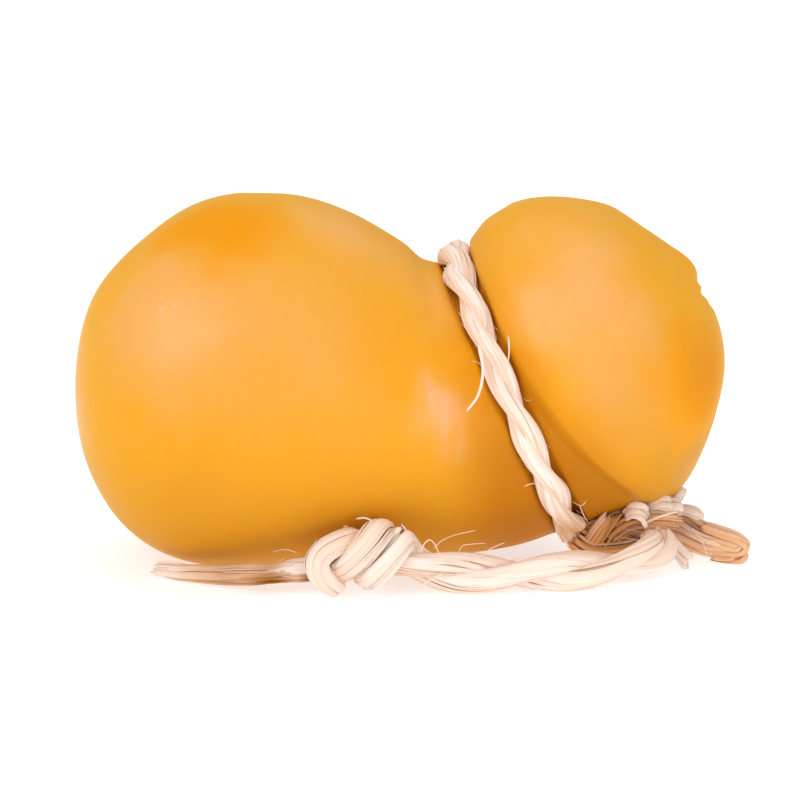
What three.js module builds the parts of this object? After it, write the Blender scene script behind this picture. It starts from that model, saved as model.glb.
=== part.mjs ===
// Smoked scamorza: a stretched-curd cheese in one piece, with a round belly, a waist and a head
// that is folded shut at its end. A two-strand raffia rope is tied round the waist. One end of the
// rope is a lead that lies along the front, with an overhand knot and a flat tail on it, and the
// other is a short frayed end under the head.
//
// The cheese lies on its side along X, with the head at +X. The origin is on the surface that it
// rests on, below the middle of its box. Millimetres and degrees, +Z up.

import * as THREE from "three";

// Belly: a round cap that closes the cheese at -X, from its widest rib to its end. Its middle is
// lower than its radius, so that it rests on a small flat.
const BELLY = { x: -32.0, z: 36.2, radius: 37.6, cap: 33.0, fullness: 2.3, sag: 0.6 };
// Shoulder: ribs between the belly and the waist. Each leans back from the vertical.
const SHOULDER = [
  { x: -20.0, z: 35.8, lean: 0, radius: 36.9 },
  { x: -8.6, z: 34.6, lean: 2.5, radius: 34.8 },
  { x: 5.2, z: 32.3, lean: 10, radius: 31.8 },
  { x: 14.4, z: 31.4, lean: 19, radius: 30.0 },
];
// Waist: the rib that the rope sits on. The neck and head are measured along the waist's own axis.
const WAIST = { x: 22.7, z: 33.2, lean: 24, radius: 29.2 };
const NECK = [
  { along: 5.5, rise: 0.9, radius: 31.4 },
  { along: 9.0, rise: 1.5, radius: 32.6 },
];
const HEAD = { along: 14.5, rise: 2.0, radius: 33.0, cap: 28.4, fullness: 1.8, nod: 4.0, nodBend: 3 };
// Fold: under the head the neck stays slim as far as a crease, which slants away from the rope.
const FOLD = {
  top: { crease: 0.8, width: 2.2 },
  bottom: { crease: 14.0, width: 4.5 },
  slant: 2.2,
  neckFront: 28.4,
  neckBelow: 30.2,
  belowFrom: 0.8,
};
// Dents: where the warm cheese was pressed, each towards the middle of its lobe. A negative depth
// is a bulge: the head's crown, the lip of the pinched closure at its end, and its jowl.
const DENTS = [
  { lobe: "belly", place: [-53, 2, 66], depth: 3.3, reach: 16 },
  { lobe: "belly", place: [-65, 0, 45], depth: 0.5, reach: 8 },
  { lobe: "belly", place: [-38, -15, 70], depth: 0.7, reach: 10 },
  { lobe: "belly", place: [-62, -3, 14], depth: 0.2, reach: 10 },
  { lobe: "belly", place: [-18, 34, 45], depth: 1.2, reach: 15 },
  { lobe: "belly", place: [-60, 16, 29], depth: 0.9, reach: 12 },
  { lobe: "head", place: [59, -17, 42], depth: 1.1, reach: 9 },
  { lobe: "head", place: [61, 0, 31], depth: 0.9, reach: 8 },
  { lobe: "head", place: [44, 30, 51], depth: 1.0, reach: 12 },
  { lobe: "head", place: [59.5, 0, 54], depth: 1.8, reach: 3.4 },
  { lobe: "head", place: [45.5, 4, 69], depth: -1.5, reach: 9 },
  { lobe: "head", place: [57, 0, 59], depth: -2.0, reach: 6 },
  { lobe: "head", place: [55, 0, 14], depth: -1.8, reach: 9 },
];

// Rope sizes, across its two strands. The loop sits in a groove that it has pressed into the waist.
const LOOP = { radius: 30, thick: 5.3, lobe: 0.1, halfTurns: 15 };
const GROOVE = { radius: 3.42, wall: 4, rim: 1.2 };
const LEAD_THICK = 7.0;
const TAIL_THICK = 3.6;
const SHORT_END_THICK = 5.0;

// Overhand knot along X, with angles measured round it from the front over the top: two strands wind
// past each other, and a bight behind them joins the end of the first to the start of the second.
const OVERHAND = {
  halfLength: 7.0, radius: 4.1, thick: 3.6,
  first: { from: 220, to: 515 },
  second: { from: -40, to: 320 },
  bight: { angle: 206, reach: 2.8, depth: 4.6, straight: 0.4 },
  leg: { length: 3.4, sweep: 25, inset: 0.7 },
};
// How much of the bight's reach, turn and depth the rope has at each point where it bends into it.
const BIGHT_BEND = [
  { reach: 0.55, turn: 0.3, depth: 0.12 },
  { reach: 0.95, turn: 0.62, depth: 0.45 },
  { reach: 0.6, turn: 0.88, depth: 0.85 },
];

// Places of the two knots: the tie sits under the head, the end knot lies in front of the belly.
const TIE = { at: [47.6, -5.0, 4.1], scale: 0.62 };
const END_KNOT = { at: [-9.2, -32.4, 7.7], turn: 12 };

// Routes of the free rope, chosen by hand, between the knots and out to the two ends.
const LEAD_ROUTE = [
  [50.0, -13.2, 6.9], [50.6, -15.2, 6.5], [50.5, -17.4, 6.1], [49.6, -19.6, 5.7], [48.0, -21.6, 5.3],
  [45.8, -23.4, 4.9], [43.0, -25.0, 4.6], [39.8, -26.5, 4.3], [36.2, -27.8, 4.1], [32.2, -28.9, 3.9],
  [28.0, -29.7, 3.8], [23.6, -30.2, 3.8], [19.2, -30.5, 3.8], [14.8, -30.8, 3.9], [10.8, -31.2, 4.2],
  [7.0, -31.8, 4.8], [3.4, -32.4, 5.6],
];
const TAIL_ROUTE = [
  [-21.9, -32.2, 5.2], [-23.5, -31.9, 4.7], [-25.1, -31.3, 4.3], [-26.7, -30.5, 4.0], [-28.4, -29.6, 3.7],
  [-30.1, -28.6, 3.4], [-31.8, -27.6, 3.2], [-33.5, -26.6, 2.9], [-35.2, -25.6, 2.7], [-37.0, -24.6, 2.5],
  [-38.8, -23.6, 2.3], [-40.6, -22.6, 2.1], [-42.5, -21.7, 1.9], [-44.5, -20.8, 1.9], [-46.6, -19.9, 1.9],
];
const SHORT_END_ROUTE = [
  [42.4, 4.6, 4.2], [43.9, 5.0, 4.3], [45.4, 5.3, 4.4], [46.9, 5.5, 4.5], [48.4, 5.6, 4.6],
  [50.0, 5.5, 4.8], [51.6, 5.2, 4.9], [53.2, 4.7, 5.0], [54.7, 4.0, 5.0], [56.2, 3.1, 4.9],
  [57.6, 2.1, 4.6], [58.9, 1.0, 4.2], [60.2, -0.2, 3.8], [61.6, -1.4, 3.4], [63.0, -2.5, 3.1],
  [64.5, -3.5, 2.9], [66.2, -4.6, 2.7], [68.1, -5.6, 2.6],
];

// Mesh fineness: points round and along the cheese, and sides and steps of the rope.
const CHEESE_AROUND = 48;
const CHEESE_CAP_STEPS = 11;
const CHEESE_RIB_STEPS = 7;
const LOOP_SIDES = 10;
const LOOP_STEPS = 96;
const ROPE_SIDES = 10;
const THIN_SIDES = 8;
const KNOT_STEPS = 56;
const STRAND_STEPS = 8;
const LEG_SHARES = [0.5, 1];
const LEAD_STEPS = 20;
const END_STEPS = 12;

const CHEESE = new THREE.MeshStandardMaterial({ name: "smoked_rind", color: 0xeba03c, roughness: 0.42 });
const ROPE = new THREE.MeshStandardMaterial({ name: "raffia", color: 0xf2e2cc, roughness: 0.85 });

const toRadians = THREE.MathUtils.degToRad;
const smoothstep = THREE.MathUtils.smoothstep;
const lerp = THREE.MathUtils.lerp;
const bell = (distance, reach) => Math.exp(-((distance / reach) ** 2));

// The waist's own frame: its axis points along the neck to the head, and up is across it.
const waistCentre = new THREE.Vector3(WAIST.x, 0, WAIST.z);
const waistLean = toRadians(WAIST.lean);
const waistAxis = new THREE.Vector3(Math.cos(waistLean), 0, Math.sin(waistLean));
const waistUp = new THREE.Vector3(-Math.sin(waistLean), 0, Math.cos(waistLean));

function onHead(along, rise) {
  return waistCentre.clone().addScaledVector(waistAxis, along).addScaledVector(waistUp, rise);
}

// Measures a point against the waist's axis.
function fromWaist(point) {
  const offset = point.clone().sub(waistCentre);
  const along = offset.dot(waistAxis);
  const across = offset.addScaledVector(waistAxis, -along);
  const radius = across.length();
  return { along, across, radius, upness: radius > 0 ? across.dot(waistUp) / radius : 1 };
}

// Moves a point towards or away from the waist's axis, to the radius given.
function atRadius(point, measured, radius) {
  if (measured.radius > 0) point.addScaledVector(measured.across, radius / measured.radius - 1);
}

// A rounded cap's rib: how far it is along the cap, and its radius, as shares of the whole.
function capShare(step, fullness) {
  const angle = (step / CHEESE_CAP_STEPS) * (Math.PI / 2);
  return { along: Math.cos(angle) ** (2 / fullness), radius: Math.sin(angle) ** (2 / fullness) };
}

function bellyCapRibs() {
  return Array.from({ length: CHEESE_CAP_STEPS }, (_, step) => {
    const share = capShare(step, BELLY.fullness);
    const x = BELLY.x - BELLY.cap * share.along;
    const z = BELLY.z - BELLY.sag * share.along;
    return { centre: new THREE.Vector3(x, 0, z), lean: 0, radius: BELLY.radius * share.radius };
  });
}

function headCapRibs() {
  return Array.from({ length: CHEESE_CAP_STEPS }, (_, step) => {
    const share = capShare(CHEESE_CAP_STEPS - 1 - step, HEAD.fullness);
    const rise = HEAD.rise - HEAD.nod * share.along ** HEAD.nodBend;
    const centre = onHead(HEAD.along + HEAD.cap * share.along, rise);
    return { centre, lean: WAIST.lean, radius: HEAD.radius * share.radius };
  });
}

// Ribs from the belly's widest one to the head's widest one, along smooth curves.
function bodyRibs() {
  const stations = [
    ...[{ ...BELLY, lean: 0 }, ...SHOULDER, WAIST].map((rib) => (
      { lean: rib.lean, radius: rib.radius, centre: new THREE.Vector3(rib.x, 0, rib.z) })),
    ...[...NECK, HEAD].map((rib) => (
      { lean: WAIST.lean, radius: rib.radius, centre: onHead(rib.along, rib.rise) })),
  ];
  const spine = new THREE.CatmullRomCurve3(stations.map((rib) => rib.centre), false, "catmullrom");
  const sizes = new THREE.CatmullRomCurve3(
    stations.map((rib) => new THREE.Vector3(rib.lean, rib.radius, 0)), false, "catmullrom");
  const count = (stations.length - 1) * CHEESE_RIB_STEPS;
  return Array.from({ length: count + 1 }, (_, step) => {
    const size = sizes.getPoint(step / count);
    return { centre: spine.getPoint(step / count), lean: size.x, radius: size.y };
  });
}

function onRib(rib, angle) {
  const lean = toRadians(rib.lean);
  const up = new THREE.Vector3(-Math.sin(lean), 0, Math.cos(lean));
  const point = rib.centre.clone().addScaledVector(up, rib.radius * Math.cos(angle));
  point.y += rib.radius * Math.sin(angle);
  return point;
}

function foldUnderHead(point) {
  const measured = fromWaist(point);
  if (measured.along < 0) return;
  const lowness = Math.max(1 - measured.upness, 0) / 2;
  const crease = lerp(FOLD.top.crease, FOLD.bottom.crease, lowness ** FOLD.slant);
  const width = lerp(FOLD.top.width, FOLD.bottom.width, lowness);
  const slim = lerp(FOLD.neckFront, FOLD.neckBelow, smoothstep(lowness, FOLD.belowFrom, 1));
  const share = smoothstep(measured.along, crease, crease + width);
  atRadius(point, measured, lerp(Math.min(slim, measured.radius), measured.radius, share));
}

const lobeCentres = {
  belly: new THREE.Vector3(BELLY.x, 0, BELLY.z),
  head: onHead(HEAD.along, HEAD.rise),
};

function pressDents(point) {
  for (const dent of DENTS) {
    const inward = lobeCentres[dent.lobe].clone().sub(point).normalize();
    const distance = point.distanceTo(new THREE.Vector3(...dent.place));
    point.addScaledVector(inward, dent.depth * bell(distance, dent.reach));
  }
}

// The rope bites a round groove into the waist. The rim is rounded off with a smooth minimum.
function pressGroove(point) {
  const measured = fromWaist(point);
  const beside = Math.abs(measured.along);
  const inGroove = Math.min(beside / GROOVE.radius, 1);
  const floor = LOOP.radius - GROOVE.radius * Math.sqrt(1 - inGroove ** 2);
  const limit = floor + GROOVE.wall * Math.max(beside - GROOVE.radius, 0);
  const mix = Math.max(GROOVE.rim - Math.abs(limit - measured.radius), 0) / GROOVE.rim;
  atRadius(point, measured, Math.min(limit, measured.radius) - (mix ** 2 * GROOVE.rim) / 4);
}

function cheese() {
  const ribs = [...bellyCapRibs(), ...bodyRibs(), ...headCapRibs()];
  const geometry = new THREE.SphereGeometry(1, CHEESE_AROUND, ribs.length - 1);
  const positions = geometry.attributes.position;
  for (let index = 0; index < positions.count; index += 1) {
    const rib = ribs[Math.floor(index / (CHEESE_AROUND + 1))];
    const angle = ((index % (CHEESE_AROUND + 1)) / CHEESE_AROUND) * 2 * Math.PI;
    const point = onRib(rib, angle);
    foldUnderHead(point);
    pressDents(point);
    pressGroove(point);
    positions.setXYZ(index, point.x, point.y, Math.max(point.z, 0));
  }
  return new THREE.Mesh(geometry, CHEESE);
}

// The loop round the waist: a ring whose two strands wind round each other.
function neckLoop() {
  const geometry = new THREE.TorusGeometry(LOOP.radius, LOOP.thick / 2, LOOP_SIDES, LOOP_STEPS);
  const positions = geometry.attributes.position;
  for (let index = 0; index < positions.count; index += 1) {
    const point = new THREE.Vector3().fromBufferAttribute(positions, index);
    const around = Math.atan2(point.y, point.x);
    const middle = new THREE.Vector3(Math.cos(around), Math.sin(around), 0).multiplyScalar(LOOP.radius);
    const offset = point.sub(middle);
    const outward = Math.hypot(offset.x, offset.y) * Math.sign(offset.dot(middle));
    const lay = Math.atan2(offset.z, outward);
    offset.multiplyScalar(1 + LOOP.lobe * Math.cos(2 * lay - LOOP.halfTurns * around));
    positions.setXYZ(index, middle.x + offset.x, middle.y + offset.y, offset.z);
  }
  const loop = new THREE.Mesh(geometry, ROPE);
  loop.position.copy(waistCentre);
  loop.rotation.y = Math.PI / 2 - waistLean;
  return loop;
}

// The middle line of the overhand knot.
function overhandRoute() {
  const { halfLength, radius, first, second, bight, leg } = OVERHAND;
  const around = (x, angle, distance) => new THREE.Vector3(
    x, -distance * Math.cos(toRadians(angle)), distance * Math.sin(toRadians(angle)));
  const strand = ({ from, to }) => Array.from({ length: STRAND_STEPS + 1 }, (_, step) => {
    const share = step / STRAND_STEPS;
    return around(halfLength * (2 * share - 1), lerp(from, to, share), radius);
  });
  const legOut = (side, angle) => LEG_SHARES.map((share) => around(
    side * (halfLength + leg.length * share),
    angle + side * leg.sweep * Math.sqrt(share),
    radius * lerp(1, leg.inset, share)));
  const bendOut = (side, angle) => BIGHT_BEND.map((bend) => around(
    side * (halfLength + bight.reach * bend.reach),
    lerp(angle, bight.angle, bend.turn),
    radius + bight.depth * bend.depth));
  const behind = [bight.straight, -bight.straight].map((share) => around(
    halfLength * share, bight.angle, radius + bight.depth));
  return [
    ...legOut(-1, first.from).toReversed(), ...strand(first), ...bendOut(1, first.to - 360), ...behind,
    ...bendOut(-1, second.from + 360).toReversed(), ...strand(second), ...legOut(1, second.to),
  ];
}

function ropeTube(points, thick, sides, steps) {
  const section = new THREE.Shape();
  section.absarc(0, 0, thick / 2, 0, 2 * Math.PI);
  const extrudePath = new THREE.CatmullRomCurve3(points);
  const geometry = new THREE.ExtrudeGeometry(
    section, { steps, curveSegments: sides / 2, bevelEnabled: false, extrudePath });
  return new THREE.Mesh(geometry, ROPE);
}

function overhandKnot(scale) {
  const route = overhandRoute().map((point) => point.multiplyScalar(scale));
  return ropeTube(route, OVERHAND.thick * scale, ROPE_SIDES, KNOT_STEPS);
}

// The tie that closes the loop lies under the head, along Y, with its bight against the loop.
function neckTie() {
  const knot = overhandKnot(TIE.scale);
  const turned = new THREE.Matrix4().makeBasis(
    new THREE.Vector3(0, -1, 0), new THREE.Vector3(-1, 0, 0), new THREE.Vector3(0, 0, -1));
  knot.quaternion.setFromRotationMatrix(turned);
  knot.position.set(...TIE.at);
  return knot;
}

function endKnot() {
  const knot = overhandKnot(1);
  knot.rotation.z = toRadians(END_KNOT.turn);
  knot.position.set(...END_KNOT.at);
  return knot;
}

function freeRope(route, thick, sides, steps) {
  return ropeTube(route.map((point) => new THREE.Vector3(...point)), thick, sides, steps);
}

const pieces = {
  cheese: cheese(),
  neck_loop: neckLoop(),
  neck_tie: neckTie(),
  lead: freeRope(LEAD_ROUTE, LEAD_THICK, ROPE_SIDES, LEAD_STEPS),
  end_knot: endKnot(),
  tail: freeRope(TAIL_ROUTE, TAIL_THICK, THIN_SIDES, END_STEPS),
  short_end: freeRope(SHORT_END_ROUTE, SHORT_END_THICK, ROPE_SIDES, END_STEPS),
};

const scamorza = new THREE.Group();
for (const [name, piece] of Object.entries(pieces)) {
  piece.name = name;
  scamorza.add(piece);
}

export default scamorza;
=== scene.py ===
import math
import random

import bmesh
import bpy
from bpy.props import FloatProperty, FloatVectorProperty, IntProperty, PointerProperty
from bpy.types import Operator, Panel, PropertyGroup
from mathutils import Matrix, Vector, noise


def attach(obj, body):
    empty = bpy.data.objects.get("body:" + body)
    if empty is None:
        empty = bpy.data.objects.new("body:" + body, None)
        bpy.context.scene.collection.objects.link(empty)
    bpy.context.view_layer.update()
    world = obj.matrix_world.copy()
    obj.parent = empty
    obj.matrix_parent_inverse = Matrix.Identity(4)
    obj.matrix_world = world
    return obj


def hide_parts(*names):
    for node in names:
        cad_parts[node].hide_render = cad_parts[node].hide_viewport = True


bl_info = {
    "name": "Smoked Scamorza",
    "version": (1, 0, 0),
    "blender": (4, 5, 0),
    "location": "View3D > Sidebar > Scamorza",
    "description": "Builds a smoked scamorza on its side, tied round the neck with raffia rope",
    "category": "Add Mesh",
}

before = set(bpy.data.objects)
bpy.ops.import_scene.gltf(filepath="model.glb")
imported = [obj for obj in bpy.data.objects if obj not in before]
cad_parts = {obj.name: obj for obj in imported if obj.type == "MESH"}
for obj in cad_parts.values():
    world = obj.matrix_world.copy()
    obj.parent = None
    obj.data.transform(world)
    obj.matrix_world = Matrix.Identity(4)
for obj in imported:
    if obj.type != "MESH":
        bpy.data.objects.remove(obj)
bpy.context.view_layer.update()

# Shapes are worked out in millimetres and scaled to metres when a piece is finished.
MM = 0.001

# The cheese: a round belly at -X, shoulder ribs, the waist that the rope sits on, the neck and the head.
BELLY = {"x": -32.0, "z": 36.2, "radius": 37.6, "cap": 33.0, "fullness": 2.3, "sag": 0.6}
SHOULDER = (
    {"x": -20.0, "z": 35.8, "lean": 0.0, "radius": 36.9},
    {"x": -8.6, "z": 34.6, "lean": 2.5, "radius": 34.8},
    {"x": 5.2, "z": 32.3, "lean": 10.0, "radius": 31.8},
    {"x": 14.4, "z": 31.4, "lean": 19.0, "radius": 30.0},
)
WAIST = {"x": 22.7, "z": 33.2, "lean": 24.0, "radius": 29.2}
NECK = (
    {"along": 5.5, "rise": 0.9, "radius": 31.4},
    {"along": 9.0, "rise": 1.5, "radius": 32.6},
)
HEAD = {"along": 14.5, "rise": 2.0, "radius": 33.0, "cap": 28.4, "fullness": 1.8, "nod": 4.0, "bend": 3}
# The crease that keeps the neck slim under the head, and the groove that the rope has pressed.
FOLD = {
    "top_crease": 0.8, "top_width": 2.2, "bottom_crease": 14.0, "bottom_width": 4.5,
    "slant": 2.2, "front": 28.4, "below": 30.2, "below_from": 0.8,
}
GROOVE = {"radius": 3.42, "wall": 4.0, "rim": 1.2}
# Radius of the rope's loop at its middle, and the step between its points in degrees.
LOOP_RADIUS = 30.0
LOOP_STEP = 5

# Dents and bulges: lobe, place, depth (negative for a bulge) and reach.
DENTS = (
    ("belly", (-53, 2, 66), 3.3, 16),
    ("belly", (-65, 0, 45), 0.5, 8),
    ("belly", (-38, -15, 70), 0.7, 10),
    ("belly", (-62, -3, 14), 0.2, 10),
    ("belly", (-18, 34, 45), 1.2, 15),
    ("belly", (-60, 16, 29), 0.9, 12),
    ("head", (59, -17, 42), 1.1, 9),
    ("head", (61, 0, 31), 0.9, 8),
    ("head", (44, 30, 51), 1.0, 12),
    ("head", (59.5, 0, 54), 1.8, 3.4),
    ("head", (45.5, 4, 69), -1.5, 9),
    ("head", (57, 0, 59), -2.0, 6),
    ("head", (55, 0, 14), -1.8, 9),
)
# Small swellings and hollows of the rind: place, height and reach.
SWELLINGS = (
    ((47, 4, 68), -0.9, 4.5),
    ((55, 4, 60.5), -0.4, 4.0),
    ((12.6, -26, 47), 0.9, 2.6),
)
# The rind's broad and finer unevenness: lengths, and the finer one's share of the height.
RELIEF = {"broad": 24, "finer": 9, "share": 0.3}
# Folds that run into the rope: how close together and how long, how far they reach on the belly's side and
# on the head's, the width of their start, and where they end.
GATHERS = {"count": 5.5, "length": 26, "belly": 11.0, "head": 4.5, "start": 1.5, "limit": 40}
# The pucker where the head is folded shut: ridges on a ring round a small pit.
PUCKER = {
    "at": (60.0, -0.5, 54.0), "reach": 14, "ridges": 6, "height": 0.3, "ring": 3.2, "width": 2.6,
    "sway": 2.5, "sway_length": 5, "pit": 0.8, "pit_width": 1.3,
}
# How soft the edge of the flat is that the cheese rests on.
SETTLE = 0.5

# The rope in each place: how many strands, its thickness, and how that varies along it, the reach of
# one turn of its strands, where the turn starts, and a strand's radius as a share of the thickness.
LOOP_ROPE = {"strands": 2, "thick": 5.7, "along": (1.3, 1.05, 1.0, 1.0, 1.25, 1.0, 1.0, 1.05, 1.3),
             "pitch": 27.0, "phase": 0.4, "share": 0.31}
LEAD_ROPE = {"strands": 2, "thick": 8.0, "along": (0.95, 1.0, 1.0), "pitch": 40.0, "phase": 1.64,
             "share": 0.29}
KNOT_ROPE = {"strands": 1, "thick": 5.8,
             "along": (0.45, 0.85, 0.95, 1.0, 1.0, 1.0, 1.0, 1.0, 1.0, 1.0, 1.0, 1.0, 0.75),
             "pitch": 80.0, "phase": 0.3, "share": 0.5}
TIE_ROPE = {"strands": 2, "thick": 3.4, "along": (1.0, 1.0), "pitch": 40.0, "phase": 1.1, "share": 0.37}
SHORT_ROPE = {"strands": 2, "thick": 6.6, "along": (0.8, 0.9, 1.1, 1.1, 1.0), "pitch": 60.0, "phase": 1.2,
              "share": 0.3}

# The overhand knot, from its left end to its right one: up the front, over the top and down behind, along
# the back to the left, round the left end and over again, and up the front to the right.
OVERHAND_ROUTE = (
    (-6.4, 0.6, -2.9), (-3.9, -1.6, -2.6), (-1.9, -3.4, -1.6), (0.3, -4.2, 0.6), (2.3, -3.4, 2.8),
    (3.7, -1.0, 4.3), (4.6, 2.0, 3.6), (4.8, 4.4, 1.2), (3.6, 5.6, -1.2), (0.6, 6.2, -2.2),
    (-2.6, 5.6, -2.8), (-5.0, 3.6, -4.4), (-5.0, 0.4, -5.3), (-4.9, -2.8, -4.9), (-6.7, -4.4, -3.1),
    (-7.4, -4.4, -1.0), (-6.4, -3.6, 0.8), (-4.0, -2.0, 2.0), (-1.4, 0.6, 2.2), (0.2, 3.2, 0.8),
    (1.0, 3.6, -1.6), (1.6, 1.4, -3.8), (2.6, -1.6, -3.9), (4.4, -3.6, -1.8), (6.3, -3.8, 0.6),
    (7.9, -2.4, 2.4),
)
END_KNOT_AT = (-8.5, -32.4, 8.2)
# Where the rope comes into the end knot from the tail, and where it leaves it to the lead.
FROM_TAIL = ((-27.5, -30.2, 3.6), (-24.2, -31.4, 4.2), (-21.0, -31.5, 4.6), (-18.1, -31.0, 4.7))
TO_LEAD = (
    (-0.1, -32.6, 10.4), (0.6, -30.8, 9.0), (2.0, -30.2, 7.2), (4.8, -30.0, 5.6), (8.5, -29.8, 4.8),
)
# Ribbons in the knot: in the groove between its two right bands, and a dark tuft under the tail that is
# painted shade for the shadow line there. Each has a count of ribbons, a tint, half a width and places.
KNOT_TUFTS = (
    (7, 0.05, 0.7, ((-6.6, -36.4, 5.0), (-4.6, -36.8, 8.2), (-2.2, -36.2, 11.0), (0.0, -34.4, 13.0))),
    (4, 0.9, 0.4, ((-16.5, -33.4, 4.0), (-20.0, -33.6, 3.9), (-23.5, -33.1, 3.7), (-27.0, -31.8, 3.3),
                   (-31.0, -29.4, 2.9))),
)
# The ends of the lead and the tail, inside the knot.
LEAD_INTO_KNOT = ((0.8, -32.2, 6.3), (-1.1, -31.8, 6.7))
TAIL_INTO_KNOT = ((-19.8, -32.0, 5.4),)
# The tie is the same knot, turned and smaller.
TIE = {"at": (47.6, -5.0, 4.4), "scale": 0.62}
# Loose strands from the loop to the tie, under the neck, and those that fan out in front of it: ribbons,
# their tints, half the bundle's thickness and places.
TIE_BUNDLES = (
    (40, (0.5, 0.9), 2.3, (
        (33.4, -14.0, 7.4), (36.4, -12.6, 5.2), (39.8, -10.8, 4.6), (43.6, -8.4, 4.6), (47.0, -6.0, 5.0))),
    (30, (0.5, 0.9), 2.2, (
        (34.6, -2.0, 5.4), (37.2, -2.8, 4.2), (40.2, -3.8, 3.8), (43.6, -4.8, 4.0))),
    (44, (0.5, 1.0), 2.0, (
        (36.0, -10.5, 8.0), (39.5, -10.5, 9.0), (43.5, -9.5, 9.6), (47.5, -8.0, 9.8), (52.0, -6.0, 9.4),
        (55.4, -3.0, 8.4))),
    (18, (0.15, 0.5), 1.3, (
        (35.4, -12.0, 3.8), (37.2, -13.0, 6.2), (38.5, -14.0, 8.4), (39.9, -14.0, 10.2),
        (40.9, -12.6, 11.0))),
    (14, (0.6, 1.0), 1.0, (
        (37.2, -12.0, 3.6), (38.6, -13.0, 5.6), (39.9, -14.0, 8.0), (40.9, -14.0, 10.0),
        (41.9, -12.6, 11.0))),
    (14, (0.5, 1.0), 1.1, (
        (38.8, -11.0, 3.8), (40.0, -12.0, 5.9), (41.3, -13.0, 8.2), (42.5, -13.0, 10.0),
        (43.5, -12.0, 11.2))),
    (14, (0.5, 1.0), 1.0, (
        (40.6, -12.0, 6.7), (43.1, -13.0, 9.0), (45.8, -13.0, 10.2), (49.1, -12.0, 9.6))),
    (14, (0.4, 0.9), 1.0, (
        (41.7, -11.0, 5.7), (44.2, -12.0, 8.0), (47.1, -12.0, 8.8), (50.2, -11.0, 8.1))),
)

# Routes of the free rope, as in the solid model.
LEAD_ROUTE = (
    (50.0, -13.2, 6.9), (50.6, -15.2, 6.5), (50.5, -17.4, 6.1), (49.6, -19.6, 5.7), (48.0, -21.6, 5.3),
    (45.8, -23.4, 4.9), (43.0, -25.0, 4.6), (39.8, -26.5, 4.3), (36.2, -27.8, 4.1), (32.2, -28.9, 3.9),
    (28.0, -29.7, 3.8), (23.6, -30.2, 3.8), (19.2, -30.5, 3.8), (14.8, -30.8, 3.9), (10.8, -31.2, 4.2),
    (7.0, -31.8, 4.8), (3.4, -32.4, 5.6),
)
TAIL_ROUTE = (
    (-21.9, -32.2, 5.2), (-23.5, -31.9, 4.7), (-25.1, -31.3, 4.3), (-26.7, -30.5, 4.0), (-28.4, -29.6, 3.7),
    (-30.1, -28.6, 3.4), (-31.8, -27.6, 3.2), (-33.5, -26.6, 2.9), (-35.2, -25.6, 2.7), (-37.0, -24.6, 2.5),
    (-38.8, -23.6, 2.3), (-40.6, -22.6, 2.1), (-42.5, -21.7, 1.9), (-44.5, -20.8, 1.9), (-46.6, -19.9, 1.9),
)
SHORT_END_ROUTE = (
    (42.4, 4.6, 4.2), (43.9, 5.0, 4.3), (45.4, 5.3, 4.4), (46.9, 5.5, 4.5), (48.4, 5.6, 4.6),
    (50.0, 5.5, 4.8), (51.6, 5.2, 4.9), (53.2, 4.7, 5.0), (54.7, 4.0, 5.0), (56.2, 3.1, 4.9),
    (57.6, 2.1, 4.6), (58.9, 1.0, 4.2), (60.2, -0.2, 3.8), (61.6, -1.4, 3.4), (63.0, -2.5, 3.1),
    (64.5, -3.5, 2.9), (66.2, -4.6, 2.7), (68.1, -5.6, 2.6),
)
# Ribbons that are folded back at the tip of the short end: ribbons, tint, half-width and places.
SHORT_FOLDS = (
    (9, 0.6, 0.8, (
        (60.0, -2.5, 6.2), (63.5, -4.8, 5.3), (66.6, -6.6, 4.6), (68.4, -7.2, 3.4), (67.4, -7.2, 2.3),
        (64.5, -6.2, 2.0), (61.5, -3.6, 2.2))),
    (9, 0.5, 0.8, (
        (61.0, -1.6, 6.2), (64.5, -3.8, 5.4), (67.2, -5.0, 4.4), (68.5, -5.6, 3.2), (67.2, -5.6, 2.2),
        (64.5, -5.0, 2.0))),
    (9, 0.65, 0.8, (
        (61.0, -4.2, 4.6), (63.5, -6.0, 4.0), (65.6, -7.2, 3.6), (66.9, -7.8, 3.1), (65.6, -7.4, 2.6),
        (62.6, -5.6, 2.6))),
)
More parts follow.
